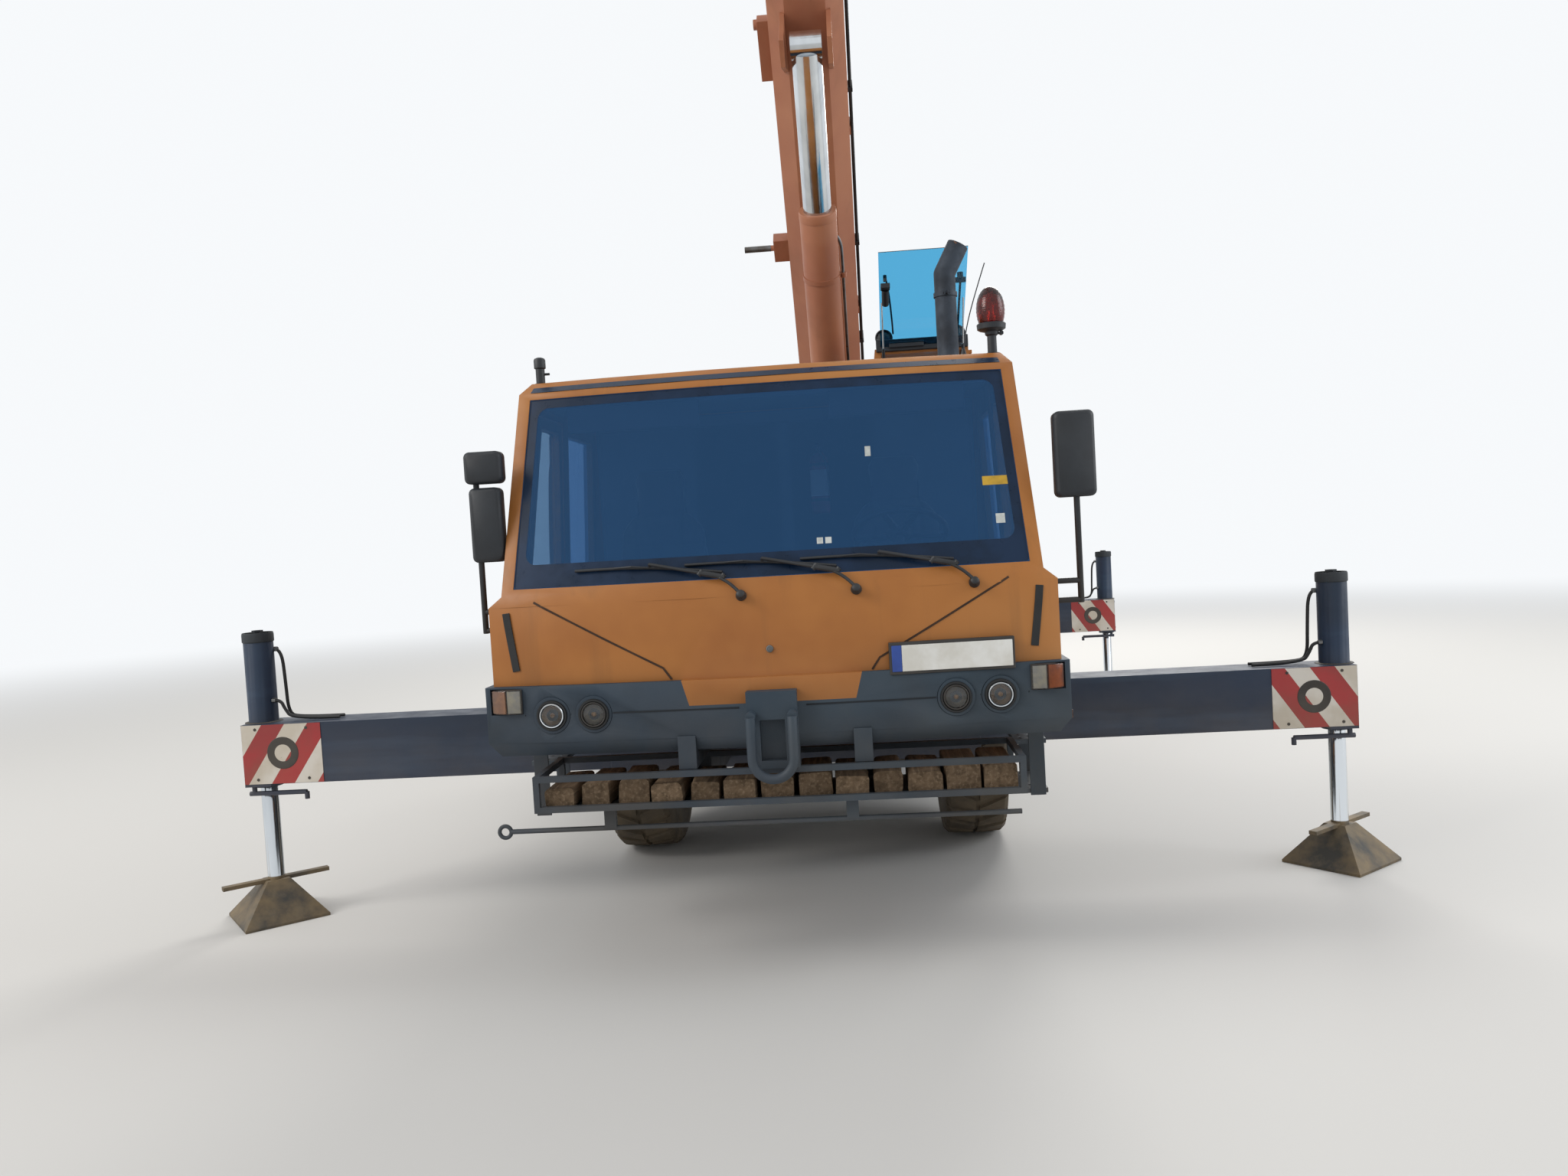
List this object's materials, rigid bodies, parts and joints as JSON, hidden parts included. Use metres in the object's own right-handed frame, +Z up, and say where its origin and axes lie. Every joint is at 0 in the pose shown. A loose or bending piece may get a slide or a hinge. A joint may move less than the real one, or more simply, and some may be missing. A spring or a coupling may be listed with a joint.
{
  "type": "mobile crane",
  "caption": "Mobile crane: a wheeled carrier with a wide low cab and outriggers carries a slewing turntable with an operator's cab and a telescopic boom.",
  "frame": {"origin": "on the ground below the middle of the whole machine's box", "axes": "-Y is the driving direction, +X is the machine's left (driver's) side, +Z is up"},
  "size_m": [6.5398, 9.2738, 9.9292],
  "materials": {
    "body_paint": "satin",
    "chassis_paint": "satin",
    "rim_paint": "satin",
    "dark_steel": "satin",
    "engine_iron": "matte",
    "rod_chrome": "polished",
    "rope_steel": "matte",
    "tyre_rubber": "matte",
    "timber": "matte",
    "cab_pane": "gloss",
    "lamp_lens": "gloss",
    "beacon_lens": "gloss",
    "black_plastic": "matte",
    "trim_plastic": "matte"
  },
  "bodies": {
    "carrier": {"chassis_frame": "chassis_paint", "outrigger_box_front": "chassis_paint", "outrigger_box_rear": "chassis_paint", "mudguards": "chassis_paint", "slew_ring": "dark_steel", "engine_block": "engine_iron", "front_bumper": "chassis_paint", "lamps": "lamp_lens", "front_rack": "chassis_paint", "packing_blocks": "timber", "cab_shell": "body_paint", "cab_glass": "cab_pane", "cab_interior": "trim_plastic", "mirrors": "black_plastic", "beacon": "beacon_lens", "exhaust_stack": "dark_steel", "deck": "chassis_paint", "side_lockers": "chassis_paint", "axle_front": "chassis_paint", "axle_rear": "chassis_paint"},
    "cab_door_left": {"door_left": "body_paint", "door_left_glass": "cab_pane"},
    "cab_door_right": {"door_right": "body_paint", "door_right_glass": "cab_pane"},
    "beam_front_left": {"outrigger_front_left": "chassis_paint"},
    "leg_front_left": {"jack_front_left": "rod_chrome"},
    "beam_front_right": {"outrigger_front_right": "chassis_paint"},
    "leg_front_right": {"jack_front_right": "rod_chrome"},
    "beam_rear_left": {"outrigger_rear_left": "chassis_paint"},
    "leg_rear_left": {"jack_rear_left": "rod_chrome"},
    "beam_rear_right": {"outrigger_rear_right": "chassis_paint"},
    "leg_rear_right": {"jack_rear_right": "rod_chrome"},
    "steer_front_left": {"knuckle_front_left": "dark_steel"},
    "wheel_front_left": {"tyre_front_left": "tyre_rubber", "rim_front_left": "rim_paint"},
    "steer_front_right": {"knuckle_front_right": "dark_steel"},
    "wheel_front_right": {"tyre_front_right": "tyre_rubber", "rim_front_right": "rim_paint"},
    "steer_rear_left": {"knuckle_rear_left": "dark_steel"},
    "wheel_rear_left": {"tyre_rear_left": "tyre_rubber", "rim_rear_left": "rim_paint"},
    "steer_rear_right": {"knuckle_rear_right": "dark_steel"},
    "wheel_rear_right": {"tyre_rear_right": "tyre_rubber", "rim_rear_right": "rim_paint"},
    "superstructure": {"turntable": "body_paint", "counterweight": "body_paint", "crane_cab": "body_paint", "crane_cab_glass": "cab_pane", "crane_cab_seat": "trim_plastic"},
    "crane_door": {"crane_cab_door": "body_paint"},
    "winch": {"winch_drum": "dark_steel"},
    "boom": {"boom_base": "body_paint"},
    "section_1": {"tele_1": "body_paint"},
    "section_2": {"tele_2": "body_paint"},
    "section_3": {"tele_3": "body_paint"},
    "luff_tube": {"luff_barrel": "body_paint"},
    "luff_piston": {"luff_rod": "rod_chrome"},
    "block": {"hook_block": "body_paint", "hoist_falls": "rope_steel"},
    "hook": {"lifting_hook": "dark_steel"}
  },
  "joints": [
    {"name": "cab_door_left_swing", "type": "hinge", "parent": "carrier", "child": "cab_door_left", "pos_m": [1.25, -2.90502, 1.9], "axis": [0, 0, -1], "range_deg": [0, 70]},
    {"name": "cab_door_right_swing", "type": "hinge", "parent": "carrier", "child": "cab_door_right", "pos_m": [-1.25, -2.90502, 1.9], "axis": [0, 0, 1], "range_deg": [0, 70]},
    {"name": "beam_front_left_slide", "type": "slide", "parent": "carrier", "child": "beam_front_left", "axis": [-1, 0, 0], "range_m": [0, 1.75]},
    {"name": "leg_front_left_slide", "type": "slide", "parent": "beam_front_left", "child": "leg_front_left", "axis": [0, 0, 1], "range_m": [0, 0.44]},
    {"name": "beam_front_right_slide", "type": "slide", "parent": "carrier", "child": "beam_front_right", "axis": [1, 0, 0], "range_m": [0, 1.75]},
    {"name": "leg_front_right_slide", "type": "slide", "parent": "beam_front_right", "child": "leg_front_right", "axis": [0, 0, 1], "range_m": [0, 0.44]},
    {"name": "beam_rear_left_slide", "type": "slide", "parent": "carrier", "child": "beam_rear_left", "axis": [-1, 0, 0], "range_m": [0, 1.75]},
    {"name": "leg_rear_left_slide", "type": "slide", "parent": "beam_rear_left", "child": "leg_rear_left", "axis": [0, 0, 1], "range_m": [0, 0.44]},
    {"name": "beam_rear_right_slide", "type": "slide", "parent": "carrier", "child": "beam_rear_right", "axis": [1, 0, 0], "range_m": [0, 1.75]},
    {"name": "leg_rear_right_slide", "type": "slide", "parent": "beam_rear_right", "child": "leg_rear_right", "axis": [0, 0, 1], "range_m": [0, 0.44]},
    {"name": "steer_front_left_turn", "type": "hinge", "parent": "carrier", "child": "steer_front_left", "pos_m": [0.74, -0.73302, 0.685], "axis": [0, 0, 1], "range_deg": [-30, 30]},
    {"name": "wheel_front_left_roll", "type": "hinge", "parent": "steer_front_left", "child": "wheel_front_left", "pos_m": [1.03, -0.73302, 0.685], "axis": [1, 0, 0], "continuous": true},
    {"name": "steer_front_right_turn", "type": "hinge", "parent": "carrier", "child": "steer_front_right", "pos_m": [-0.74, -0.73302, 0.685], "axis": [0, 0, 1], "range_deg": [-30, 30]},
    {"name": "wheel_front_right_roll", "type": "hinge", "parent": "steer_front_right", "child": "wheel_front_right", "pos_m": [-1.03, -0.73302, 0.685], "axis": [1, 0, 0], "continuous": true},
    {"name": "steer_rear_left_turn", "type": "hinge", "parent": "carrier", "child": "steer_rear_left", "pos_m": [0.74, 2.94698, 0.685], "axis": [0, 0, 1], "range_deg": [-30, 30]},
    {"name": "wheel_rear_left_roll", "type": "hinge", "parent": "steer_rear_left", "child": "wheel_rear_left", "pos_m": [1.03, 2.94698, 0.685], "axis": [1, 0, 0], "continuous": true},
    {"name": "steer_rear_right_turn", "type": "hinge", "parent": "carrier", "child": "steer_rear_right", "pos_m": [-0.74, 2.94698, 0.685], "axis": [0, 0, 1], "range_deg": [-30, 30]},
    {"name": "wheel_rear_right_roll", "type": "hinge", "parent": "steer_rear_right", "child": "wheel_rear_right", "pos_m": [-1.03, 2.94698, 0.685], "axis": [1, 0, 0], "continuous": true},
    {"name": "slew", "type": "hinge", "parent": "carrier", "child": "superstructure", "pos_m": [0, 0.98698, 1.55], "axis": [0, 0, 1], "continuous": true},
    {"name": "crane_door_slide", "type": "slide", "parent": "superstructure", "child": "crane_door", "axis": [0, 1, 0], "range_m": [0, 0.64]},
    {"name": "winch_turn", "type": "hinge", "parent": "superstructure", "child": "winch", "pos_m": [0.24, 2.64698, 2.78], "axis": [1, 0, 0], "continuous": true},
    {"name": "luff", "type": "hinge", "parent": "superstructure", "child": "boom", "pos_m": [0.24, 2.00698, 3.1], "axis": [-1, 0, 0], "range_deg": [-47, 33]},
    {"name": "telescope_1", "type": "slide", "parent": "boom", "child": "section_1", "axis": [0, -0.682, 0.7314], "range_m": [0, 6.9]},
    {"name": "telescope_2", "type": "slide", "parent": "section_1", "child": "section_2", "axis": [0, -0.682, 0.7314], "range_m": [0, 6.9]},
    {"name": "telescope_3", "type": "slide", "parent": "section_2", "child": "section_3", "axis": [0, -0.682, 0.7314], "range_m": [0, 6.9]},
    {"name": "luff_tube_turn", "type": "hinge", "parent": "superstructure", "child": "luff_tube", "pos_m": [0.24, 1.68698, 1.95], "axis": [-1, 0, 0], "range_deg": [-40, 28.5]},
    {"name": "luff_piston_slide", "type": "slide", "parent": "luff_tube", "child": "luff_piston", "axis": [0, -0.6126, 0.7904], "range_m": [-0.83, 0.59]},
    {"name": "block_hang", "type": "hinge", "parent": "section_3", "child": "block", "pos_m": [0.24, -4.38698, 9.44348], "axis": [-1, 0, 0], "range_deg": [-33, 47]},
    {"name": "hook_turn", "type": "hinge", "parent": "block", "child": "hook", "pos_m": [0.24, -4.38698, 7.64348], "axis": [0, 0, 1], "continuous": true}
  ],
  "couplings": [
    {"joint": "steer_front_right_turn", "follows": "steer_front_left_turn", "ratio": 1},
    {"joint": "steer_rear_right_turn", "follows": "steer_rear_left_turn", "ratio": 1},
    {"joint": "luff_tube_turn", "follows": "luff", "ratio": 0.838},
    {"joint": "luff_piston_slide", "follows": "luff", "m_per_rad": 0.995},
    {"joint": "block_hang", "follows": "luff", "ratio": -1}
  ]
}
